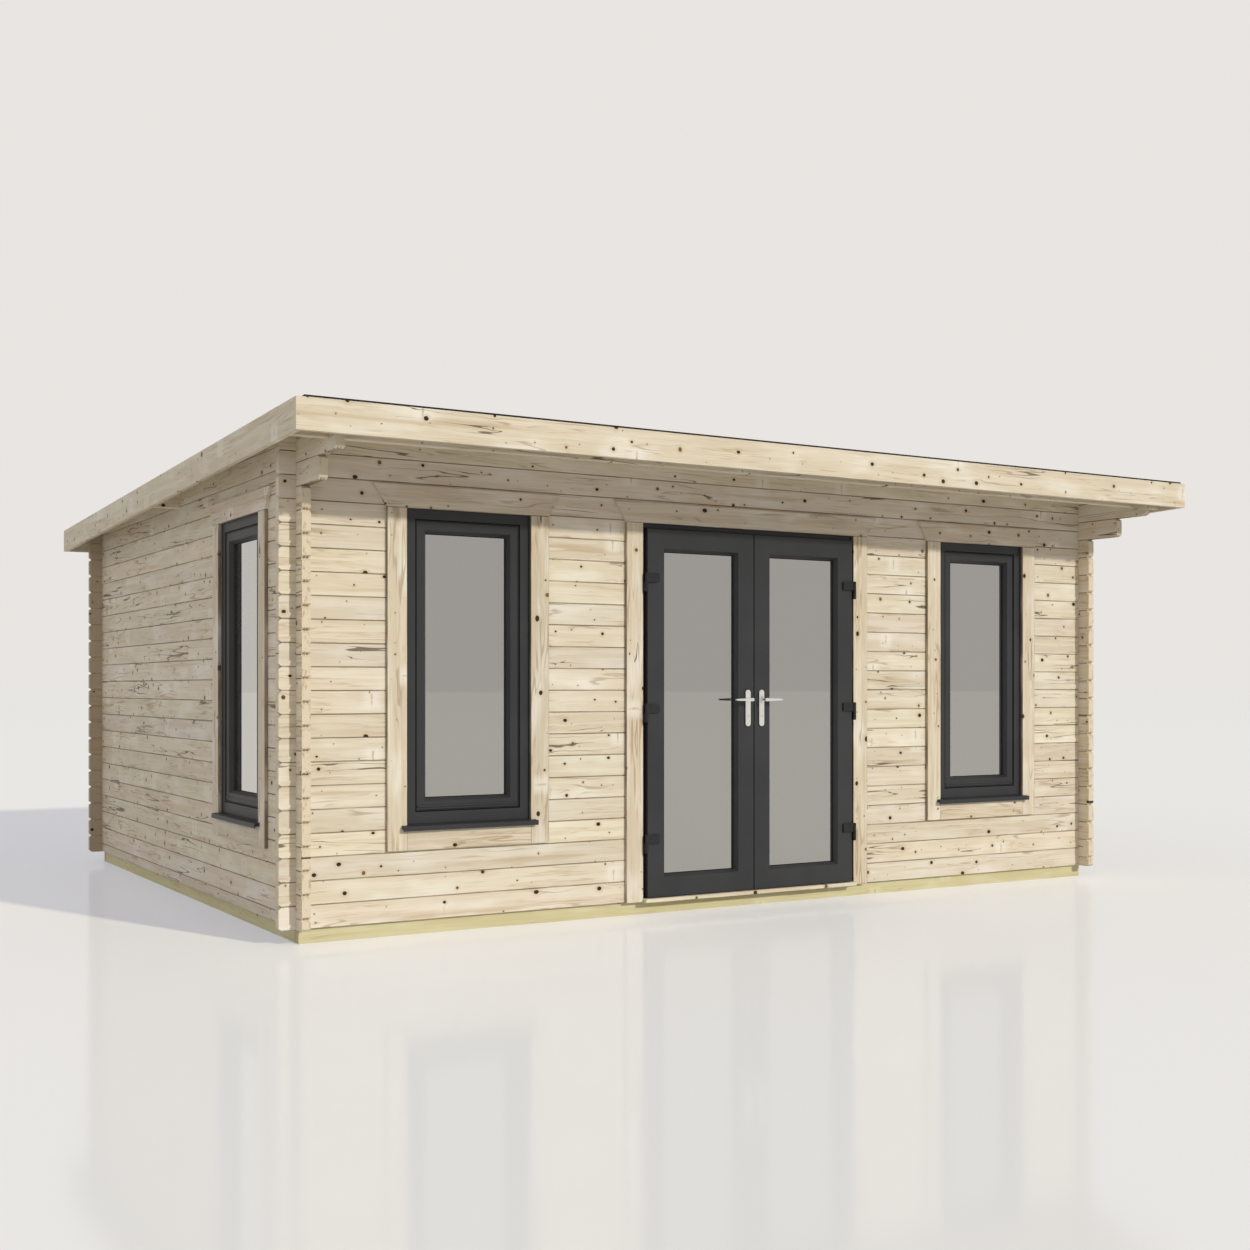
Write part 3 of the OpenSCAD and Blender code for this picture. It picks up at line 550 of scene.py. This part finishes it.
class Shape:
    """Closed solids collected into one mesh, given in the walls' own coordinates."""

    def __init__(self, placed=None):
        self.placed = placed or (lambda x, y, z: (x, y, z))
        self.points = []
        self.faces = []

    def add(self, rings, closed=False):
        """Skin over rings of points: capped at both ends, or joined into a loop."""
        first, size = len(self.points), len(rings[0])
        for ring in rings:
            self.points.extend(CORNER + Vector(self.placed(*p)) for p in ring)
        spans = len(rings) if closed else len(rings) - 1
        for r in range(spans):
            a, b = first + r * size, first + (r + 1) % len(rings) * size
            for k in range(size):
                n = (k + 1) % size
                self.faces.append((a + k, a + n, b + n, b + k))
        if not closed:
            self.faces.append(tuple(range(first, first + size)))
            self.faces.append(tuple(first + spans * size + k for k in range(size)))

    def piece(self, name, body, slot, material, smooth=False):
        mesh = bpy.data.meshes.new(name)
        mesh.from_pydata(self.points, [], self.faces)
        work = bmesh.new()
        work.from_mesh(mesh)
        bmesh.ops.recalc_face_normals(work, faces=work.faces)
        work.to_mesh(mesh)
        work.free()
        if smooth:
            mesh.polygons.foreach_set("use_smooth", [True] * len(mesh.polygons))
            mesh.set_sharp_from_angle(angle=math.radians(35))
        mesh.materials.append(material)
        made = bpy.data.objects.new(name, mesh)
        bpy.context.scene.collection.objects.link(made)
        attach(made, body)
        return made


def turned(centre, axis, profile, sides=14):
    """Rings of a turned shape: profile gives (radius, distance along axis) from centre."""
    rings = []
    for radius, along in profile:
        ring = []
        for k in range(sides):
            angle = 2 * math.pi * k / sides
            a, b = radius * math.cos(angle), radius * math.sin(angle)
            offset = {"x": (along, a, b), "y": (a, along, b), "z": (a, b, along)}[axis]
            ring.append(tuple(c + o for c, o in zip(centre, offset)))
        rings.append(ring)
    return rings


def plank_section(width, thick, chamfer):
    """Outline of a plank, from its lower left corner, with chamfered lower edges."""
    return [(0, chamfer), (chamfer, 0), (width - chamfer, 0), (width, chamfer), (width, thick),
            (0, thick)]


def build_roof_boards(material):
    """Matched boards from front to back, with a V joint between them underneath."""
    lo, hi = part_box("roof_boards")
    lo, hi = lo - CORNER, hi - CORNER
    pitch = (hi.x - lo.x) / ROOF_BOARDS
    gap, chamfer = 0.0008, 0.004
    shape = Shape()
    for k in range(ROOF_BOARDS):
        left = lo.x + k * pitch + gap / 2
        section = plank_section(pitch - gap, BOARD_T, chamfer)
        shape.add([[(left + a, y, roof_z(y) + b) for a, b in section] for y in (lo.y, hi.y)])
    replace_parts(shape.piece("roof_boarding", "cabin", "boards", material), "roof_boards")


def build_floor_boards(material):
    """Floor boards from side to side, notched round the door frame."""
    lo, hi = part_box("floor")
    lo, hi = lo - CORNER, hi - CORNER
    pitch = (hi.y - lo.y) / FLOOR_BOARDS
    gap, chamfer = 0.001, 0.0015
    notch_x, notch_y = 1.9164, 0.0816
    shape = Shape()
    for k in range(FLOOR_BOARDS):
        near, far = lo.y + k * pitch + gap / 2, lo.y + (k + 1) * pitch - gap / 2
        runs = [(lo.x, hi.x, near)]
        if near < notch_y:
            runs = [(lo.x, notch_x, near), (notch_x, WALL_W - notch_x, notch_y),
                    (WALL_W - notch_x, hi.x, near)]
        for x0, x1, y0 in runs:
            top = hi.z
            section = [(y0, lo.z), (far, lo.z), (far, top - chamfer), (far - chamfer, top),
                       (y0 + chamfer, top), (y0, top - chamfer)]
            shape.add([[(x, a, b) for a, b in section] for x in (x0, x1)])
    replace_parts(shape.piece("floor_boarding", "cabin", "boards", material), "floor")


def build_felt(material, zinc):
    """Felt sheets that lap towards the back, edge strips round them and clout nails."""
    lo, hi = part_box("roof_felt")
    lo, hi = lo - CORNER, hi - CORNER
    base, sheet_t, lap, ramp = BOARD_T + 0.0003, 0.0026, 0.075, 0.030
    sheets = 5
    run = (hi.y - lo.y - lap) / sheets
    shape = Shape()
    for k in range(sheets):
        y0, y1 = lo.y + k * run, lo.y + (k + 1) * run + lap
        low = [(y0, 0.0), (y1 - lap - ramp, 0.0), (y1 - lap, sheet_t), (y1, sheet_t)]
        if k == sheets - 1:
            low = [(y0, 0.0), (y1, 0.0)]
        outline = [(y, d) for y, d in low] + [(y, d + sheet_t * 0.96) for y, d in reversed(low)]
        shape.add([[(x, y, roof_z(y) + base + d) for y, d in outline] for x in (lo.x, hi.x)])
    strip, strip_t, under = 0.060, 0.0022, 2 * sheet_t
    nails = Shape()
    clout = [(0.005, -0.001), (0.005, 0.0002), (0.0035, 0.0004)]

    def edge_strip(x0, x1, y0, y1, foot):
        corners = [(x0, y0), (x1, y0), (x1, y1), (x0, y1)]
        shape.add([[(x, y, roof_z(y) + base + d) for x, y in corners] for d in (foot, under + strip_t)])

    edge_strip(lo.x, hi.x, lo.y, lo.y + strip, sheet_t)
    edge_strip(lo.x, hi.x, hi.y - strip, hi.y, sheet_t)
    edge_strip(lo.x, lo.x + strip, lo.y + strip, hi.y - strip, sheet_t)
    edge_strip(hi.x - strip, hi.x, lo.y + strip, hi.y - strip, sheet_t)
    step = 0.15
    for y in (lo.y + strip / 2, hi.y - strip / 2):
        for k in range(int((hi.x - lo.x) / step)):
            nail_at = (lo.x + step * (k + 0.5), y, roof_z(y) + base + under + strip_t)
            nails.add(turned(nail_at, "z", clout, 10))
    for x in (lo.x + strip / 2, hi.x - strip / 2):
        for k in range(int((hi.y - lo.y) / step)):
            y = lo.y + step * (k + 0.5)
            nails.add(turned((x, y, roof_z(y) + base + under + strip_t), "z", clout, 10))
    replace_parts(shape.piece("felt_sheets", "cabin", "felt", material), "roof_felt")
    nails.piece("felt_nails", "cabin", "hinge_metal", zinc)


# Where each window lies: front left, front right, left side, right side
WINDOWS = (
    lambda x, y, z: (WINDOW_X + x, y, z),
    lambda x, y, z: (WALL_W - WINDOW_X - x, y, z),
    lambda x, y, z: (y, WINDOW_Y - x, z),
    lambda x, y, z: (WALL_W - y, WINDOW_Y - x, z),
)


PANE_SEAL = ((0.0, 0.0), (0.0, 0.0040), (0.0022, 0.0036), (0.0046, 0.0010), (0.0046, 0.0))
SASH_SEAL = ((0.0, 0.0), (0.0, 0.0012), (0.0010, 0.0018), (0.0065, 0.0018), (0.0080, 0.0))


def seal_ring(shape, section, x0, x1, z0, z1, face, out):
    """Rubber seal inside a rectangle, on a surface at face that looks along y the way out says."""
    rings = []
    for sx, sz in ((0, 0), (1, 0), (1, 1), (0, 1)):
        rings.append([(x1 - a if sx else x0 + a, face + out * d, z1 - a if sz else z0 + a)
                      for a, d in section])
    shape.add(rings, closed=True)


def mirrored(x, y, z):
    """The same place on the right leaf."""
    return WALL_W - x, y, z


def build_seals(rubber):
    """Seals on both faces of every pane, and round the front of every sash."""
    windows = Shape()
    for placed in WINDOWS:
        windows.placed = placed
        for face, out in ((PANE_FRONT, -1), (PANE_BACK, 1)):
            seal_ring(windows, PANE_SEAL, -PANE_HALF_W, PANE_HALF_W, PANE_Z0, PANE_Z1, face, out)
        seal_ring(windows, SASH_SEAL, -SASH_HALF_W, SASH_HALF_W, SASH_Z0, SASH_Z1, SASH_FACE, -1)
    windows.piece("window_seals", "cabin", "upvc", rubber)
    for body, placed in (("left_door", None), ("right_door", mirrored)):
        door = Shape(placed)
        for face, out in ((DOOR_PANE_FRONT, -1), (DOOR_PANE_BACK, 1)):
            seal_ring(door, PANE_SEAL, LEAF_X0 + STILE_W, LEAF_X1 - STILE_W, LEAF_Z0 + STILE_W,
                      LEAF_Z1 - STILE_W, face, out)
        door.piece(body + "_seals", body, "upvc", rubber)


def build_drip_bars(upvc):
    """Sloped bars that throw water off the bottom rails of the sashes."""
    half, foot = SASH_HALF_W - 0.009, SASH_Z0 + 0.018
    nose = SASH_FACE - 0.0056
    section = [(SASH_FACE, foot), (nose, foot + 0.001), (nose, foot + 0.005), (SASH_FACE, foot + 0.013)]
    bars = Shape()
    for placed in WINDOWS:
        bars.placed = placed
        bars.add([[(x, y, z) for y, z in section] for x in (-half, half)])
    bars.piece("sash_drip_bars", "cabin", "upvc", upvc)


def glass_block(shape, spacers, x0, x1, z0, z1, front, back):
    """Sealed unit with ground edges, and the spacer bar round its inside."""
    ground, lap, bar_w, skin, tuck = 0.0010, 0.0137, 0.0060, 0.0040, 0.002
    rings = []
    for y, inset in ((front, ground), (front + ground, 0.0), (back - ground, 0.0), (back, ground)):
        a0, a1, b0, b1 = x0 - lap + inset, x1 + lap - inset, z0 - lap + inset, z1 + lap - inset
        rings.append([(a0, y, b0), (a1, y, b0), (a1, y, b1), (a0, y, b1)])
    shape.add(rings)
    bars = []
    for sx, sz in ((0, 0), (1, 0), (1, 1), (0, 1)):
        section = [(-tuck, front + skin), (bar_w, front + skin), (bar_w, back - skin),
                   (-tuck, back - skin)]
        bars.append([(x1 - a if sx else x0 + a, y, z1 - a if sz else z0 + a) for a, y in section])
    spacers.add(bars, closed=True)


def build_panes(glass, metal):
    """Glazing units of the windows and the door leaves."""
    panes, bars = Shape(), Shape()
    for placed in WINDOWS:
        panes.placed = bars.placed = placed
        glass_block(panes, bars, -PANE_HALF_W, PANE_HALF_W, PANE_Z0, PANE_Z1, PANE_FRONT, PANE_BACK)
    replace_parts(panes.piece("window_panes", "cabin", "glass", glass), "window_glass")
    bars.piece("window_spacers", "cabin", "handle_metal", metal)
    for body, placed in (("left_door", None), ("right_door", mirrored)):
        panes, bars = Shape(placed), Shape(placed)
        glass_block(panes, bars, LEAF_X0 + STILE_W, LEAF_X1 - STILE_W, LEAF_Z0 + STILE_W,
                    LEAF_Z1 - STILE_W, DOOR_PANE_FRONT, DOOR_PANE_BACK)
        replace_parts(panes.piece(body + "_pane", body, "glass", glass), body + "_glass")
        bars.piece(body + "_spacers", body, "handle_metal", metal)


def build_locks(chrome, dark):
    """Lock cylinders with key slots, and the screws of the handle plates."""
    lock_z = LEVER_Z - LOCK_DROP
    screw_z = PLATE_H / 2 - 0.013
    slot_w, slot_h = 0.0009, 0.0036
    for body, placed in (("left_door", None), ("right_door", mirrored)):
        metal, slots = Shape(placed), Shape(placed)
        for face, out in PLATE_FACES:
            at = (HANDLE_X, face, lock_z)
            metal.add(turned(at, "y", [(0.0088, -0.001 * out), (0.0088, 0.0018 * out),
                                       (0.0078, 0.0026 * out), (0.0062, 0.0026 * out),
                                       (0.0058, 0.0018 * out)], 28))
            outline = [(-slot_w, -slot_h), (slot_w, -slot_h), (slot_w, slot_h), (-slot_w, slot_h)]
            slots.add([[(HANDLE_X + a, face + d * out, lock_z + b) for a, b in outline]
                       for d in (0.0008, 0.0021)])
            for z in (PLATE_MID_Z - screw_z, PLATE_MID_Z + screw_z):
                screw = [(0.0038, -0.001 * out), (0.0038, 0.0006 * out), (0.0022, 0.0014 * out)]
                metal.add(turned((HANDLE_X, face, z), "y", screw, 18))
        metal.piece(body + "_lock", body, "handle_metal", chrome, smooth=True)
        slots.piece(body + "_key_slots", body, "hinge_metal", dark)


def build_hinge_caps(coat):
    """Caps over and under the hinge pins, and plugs over the screws in the flags."""
    half = HINGE_H / 2
    flag_mid = half / 2
    fixed = Shape()
    for body, placed in (("left_door", None), ("right_door", mirrored)):
        moving = Shape(placed)
        fixed.placed = placed or fixed.placed
        for z in HINGE_ZS:
            moving.add(turned((HINGE_X, HINGE_Y, z + half), "z",
                              [(0.0082, -0.001), (0.0082, 0.0015), (0.0064, 0.0026)], 28))
            fixed.add(turned((HINGE_X, HINGE_Y, z - half), "z",
                             [(0.0082, 0.001), (0.0082, -0.0015), (0.0064, -0.0026)], 28))
            for along in (0.030, 0.064):
                moving.add(turned((HINGE_X + along, HINGE_Y - 0.0003, z + flag_mid), "y",
                                  [(0.0062, 0.001), (0.0062, -0.0004), (0.0054, -0.0010)], 24))
        moving.piece(body + "_hinge_caps", body, "hinge_metal", coat, smooth=True)
    fixed.piece("hinge_foot_caps", "cabin", "hinge_metal", coat, smooth=True)


def build_trim_nails(zinc):
    """Pairs of small nail heads up the side trims of the openings."""
    nails = Shape()
    head = [(0.0021, 0.001), (0.0021, -0.0002), (0.0013, -0.0004)]
    spread, rows = 0.031, 5

    def up_a_trim(x, z0, z1):
        for k in range(rows):
            z = z0 + (z1 - z0) * k / (rows - 1)
            for side in (-spread, spread):
                nails.add(turned((x + side, TRIM_FACE, z), "y", head, 10))

    for placed in WINDOWS:
        nails.placed = placed
        for x in (-TRIM_IN - TRIM_W / 2, TRIM_IN + TRIM_W / 2):
            up_a_trim(x, SILL_Z - 0.06, HEAD_TRIM_Z - 0.05)
    for placed in (lambda x, y, z: (x, y, z), mirrored):
        nails.placed = placed
        up_a_trim(DOOR_TRIM_X, 0.08, HEAD_TRIM_Z - 0.05)
    nails.piece("trim_nails", "cabin", "hinge_metal", zinc)


def build_camera():
    """Camera of the photograph, level, with its shift."""
    data = bpy.data.cameras.new("photo_camera")
    data.lens, data.sensor_width = CAMERA_LENS, CAMERA_SENSOR
    data.shift_x, data.shift_y = CAMERA_SHIFT
    camera = bpy.data.objects.new("photo_camera", data)
    camera.location = CAMERA_AT
    camera.rotation_euler = (math.radians(90), 0.0, math.radians(CAMERA_TURN))
    bpy.context.scene.collection.objects.link(camera)
    bpy.context.scene.camera = camera


def seen_directly(g):
    """1 for rays that show the studio itself, straight or in gloss and glass."""
    path = g.node("LightPath")
    seen = Value(g, path.outputs["Is Camera Ray"])
    for name in ("Is Glossy Ray", "Is Transmission Ray"):
        seen = g.largest(seen, path.outputs[name])
    return seen


def build_sun(name, travel, colour, strength, size):
    """Distant lamp whose light travels one way; size is its angle across in degrees."""
    light = bpy.data.lights.new(name, "SUN")
    light.color = colour
    light.energy = strength
    light.angle = math.radians(size)
    lamp = bpy.data.objects.new(name, light)
    lamp.rotation_euler = Vector(travel).to_track_quat("-Z", "Y").to_euler()
    lamp.visible_glossy = False
    bpy.context.scene.collection.objects.link(lamp)


def build_studio():
    """World, lamps and a pale floor with a faint gloss."""
    world = bpy.data.worlds.new("studio")
    world.use_nodes = True
    bpy.context.scene.world = world
    g = Graph(world.node_tree)
    soft = g.node("Background", {"Color": AMBIENT_COLOUR, "Strength": AMBIENT})
    pale = g.node("Background", {"Color": BACKDROP, "Strength": 1.0})
    mixed = g.node("MixShader", {0: seen_directly(g), 1: soft.outputs[0], 2: pale.outputs[0]})
    g.output(mixed.outputs[0], "OutputWorld")

    build_sun("sun", SUN_TRAVEL, SUN_COLOUR, SUN_STRENGTH, SUN_SIZE)
    build_sun("fill", FILL_TRAVEL, FILL_COLOUR, FILL_STRENGTH, FILL_SIZE)

    size, lowered = 340.0, 0.0005
    mesh = bpy.data.meshes.new("studio_floor")
    corners = [(-size, -size, 0), (size, -size, 0), (size, size, 0), (-size, size, 0)]
    mesh.from_pydata(corners, [], [(0, 1, 2, 3)])
    floor = bpy.data.objects.new("studio_floor", mesh)
    floor.location.z = -lowered
    bpy.context.scene.collection.objects.link(floor)
    material, g = new_material("studio_floor")
    seen = seen_directly(g)
    glossy = Value(g, g.node("LightPath").outputs["Is Glossy Ray"])
    shown = g.tint(seen, FLOOR_BOUNCE, FLOOR_SEEN)
    matt = g.node("BsdfDiffuse", {"Color": shown})
    haze = g.tint(glossy, FLOOR_HAZE, FLOOR_MIRRORED_HAZE)
    glow = g.node("Emission", {"Color": haze, "Strength": seen})
    both = g.node("AddShader", {0: matt.outputs[0], 1: glow.outputs[0]})
    gloss = g.node("BsdfGlossy", {"Color": (1.0, 1.0, 1.0), "Roughness": FLOOR_ROUGH})
    mixed = g.node("MixShader", {0: FLOOR_GLOSS, 1: both.outputs[0], 2: gloss.outputs[0]})
    g.output(mixed.outputs[0])
    mesh.materials.append(material)


def dress_timber():
    """Finishes of everything made of wood, and the boards of roof and floor."""
    front, left = CORNER.y, CORNER.x
    rows = (
        ("front_wall_left", SPRUCE, "x", CORNER.z, front, 1),
        ("front_wall_right", SPRUCE, "x", CORNER.z, front, 2),
        ("front_wall_top", SPRUCE, "x", CORNER.z, front, 3),
        ("back_wall", BACK_SPRUCE, "x", CORNER.z, front + WALL_D, 4),
        ("left_wall", SIDE_SPRUCE, "y", CORNER.z - LOG_H / 2, left, 5),
        ("right_wall", SIDE_SPRUCE, "y", CORNER.z - LOG_H / 2, -left, 6),
    )
    for node, wood, along, foot, face, seed in rows:
        # The back wall's protruding log ends take its dark end colours all over: painted shade of the
        # back corners.
        corner_shade_from = WALL_W / 2 if node == "back_wall" else None
        logs = plank_wood("logs_" + node, wood, along, "z", foot, LOG_H, face, seed, corner_shade_from=corner_shade_from)
        assign(logs, node)
    assign(plank_wood("beam_spruce", SPRUCE, "x", "z", seed=7, jointed=False), "purlins")
    level = plank_wood("level_spruce", PLANED, "x", "z", seed=8, jointed=False)
    assign(level, "front_fascia", "back_fascia", "door_threshold")
    barge = plank_wood("barge_spruce", PLANED, "y", "z", seed=9, jointed=False)
    assign(barge, "left_bargeboard", "right_bargeboard")
    assign(trim_wood("window_trim_spruce", TRIM, "x", -left - WINDOW_X, TRIM_IN, True, 10),
           "front_window_trim")
    assign(trim_wood("door_trim_spruce", TRIM, "x", 0.0, DOOR_TRIM_IN, False, 11), "door_trim")
    assign(trim_wood("side_trim_spruce", TRIM, "y", front + WINDOW_Y, TRIM_IN, False, 12),
           "side_window_trim")
    assign(plank_wood("treated_level", TREATED, "x", "z", seed=13, jointed=False),
           "front_bearer", "back_bearer")
    assign(plank_wood("treated_deep", TREATED, "y", "z", seed=14, jointed=False),
           "left_bearer", "right_bearer", "floor_joists")
    roof_lo, roof_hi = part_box("roof_boards")
    roof_pitch = (roof_hi.x - roof_lo.x) / ROOF_BOARDS
    build_roof_boards(plank_wood("roof_spruce", SPRUCE, "y", "x", roof_lo.x, roof_pitch, seed=15,
                                 jointed=False))
    floor_lo, floor_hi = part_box("floor")
    floor_pitch = (floor_hi.y - floor_lo.y) / FLOOR_BOARDS
    build_floor_boards(plank_wood("floor_spruce", SPRUCE, "x", "y", floor_lo.y, floor_pitch, seed=16,
                                  jointed=False))


def dress_openings():
    """Finishes and small parts of the windows and doors."""
    upvc, chrome, hinge = upvc_material(), chrome_material(), hinge_material()
    places = ("front_left", "front_right", "left_side", "right_side")
    frames = [p + "_window_frame" for p in places] + [p + "_window_sash" for p in places]
    frames += ["window_sills", "door_frame"]
    assign(upvc, "left_door_leaf", "right_door_leaf", *frames)
    soften(0.0018, *frames)
    build_panes(glass_material(), chrome)
    hinges = ("hinge_brackets", "left_hinge_flags", "right_hinge_flags")
    assign(hinge, *hinges)
    soften(0.0010, *hinges, curved=True)
    handles = ("left_handle_plates", "right_handle_plates", "left_door_lever", "right_door_lever")
    assign(chrome, *handles)
    soften(0.0025, *handles, segments=3, curved=True)
    build_drip_bars(upvc)
    rubber = rubber_material()
    build_seals(rubber)
    build_locks(chrome, rubber)
    build_hinge_caps(hinge)


SMOOTH = shade_smooth_group()
dress_timber()
soften(0.0022, "front_window_trim", "side_window_trim", "door_trim", "door_threshold",
       "front_fascia", "back_fascia", "left_bargeboard", "right_bargeboard")
dress_openings()
zinc = zinc_material()
build_felt(felt_material(), zinc)
build_trim_nails(zinc)
build_studio()
build_camera()

bpy.context.scene.view_settings.view_transform = "Standard"
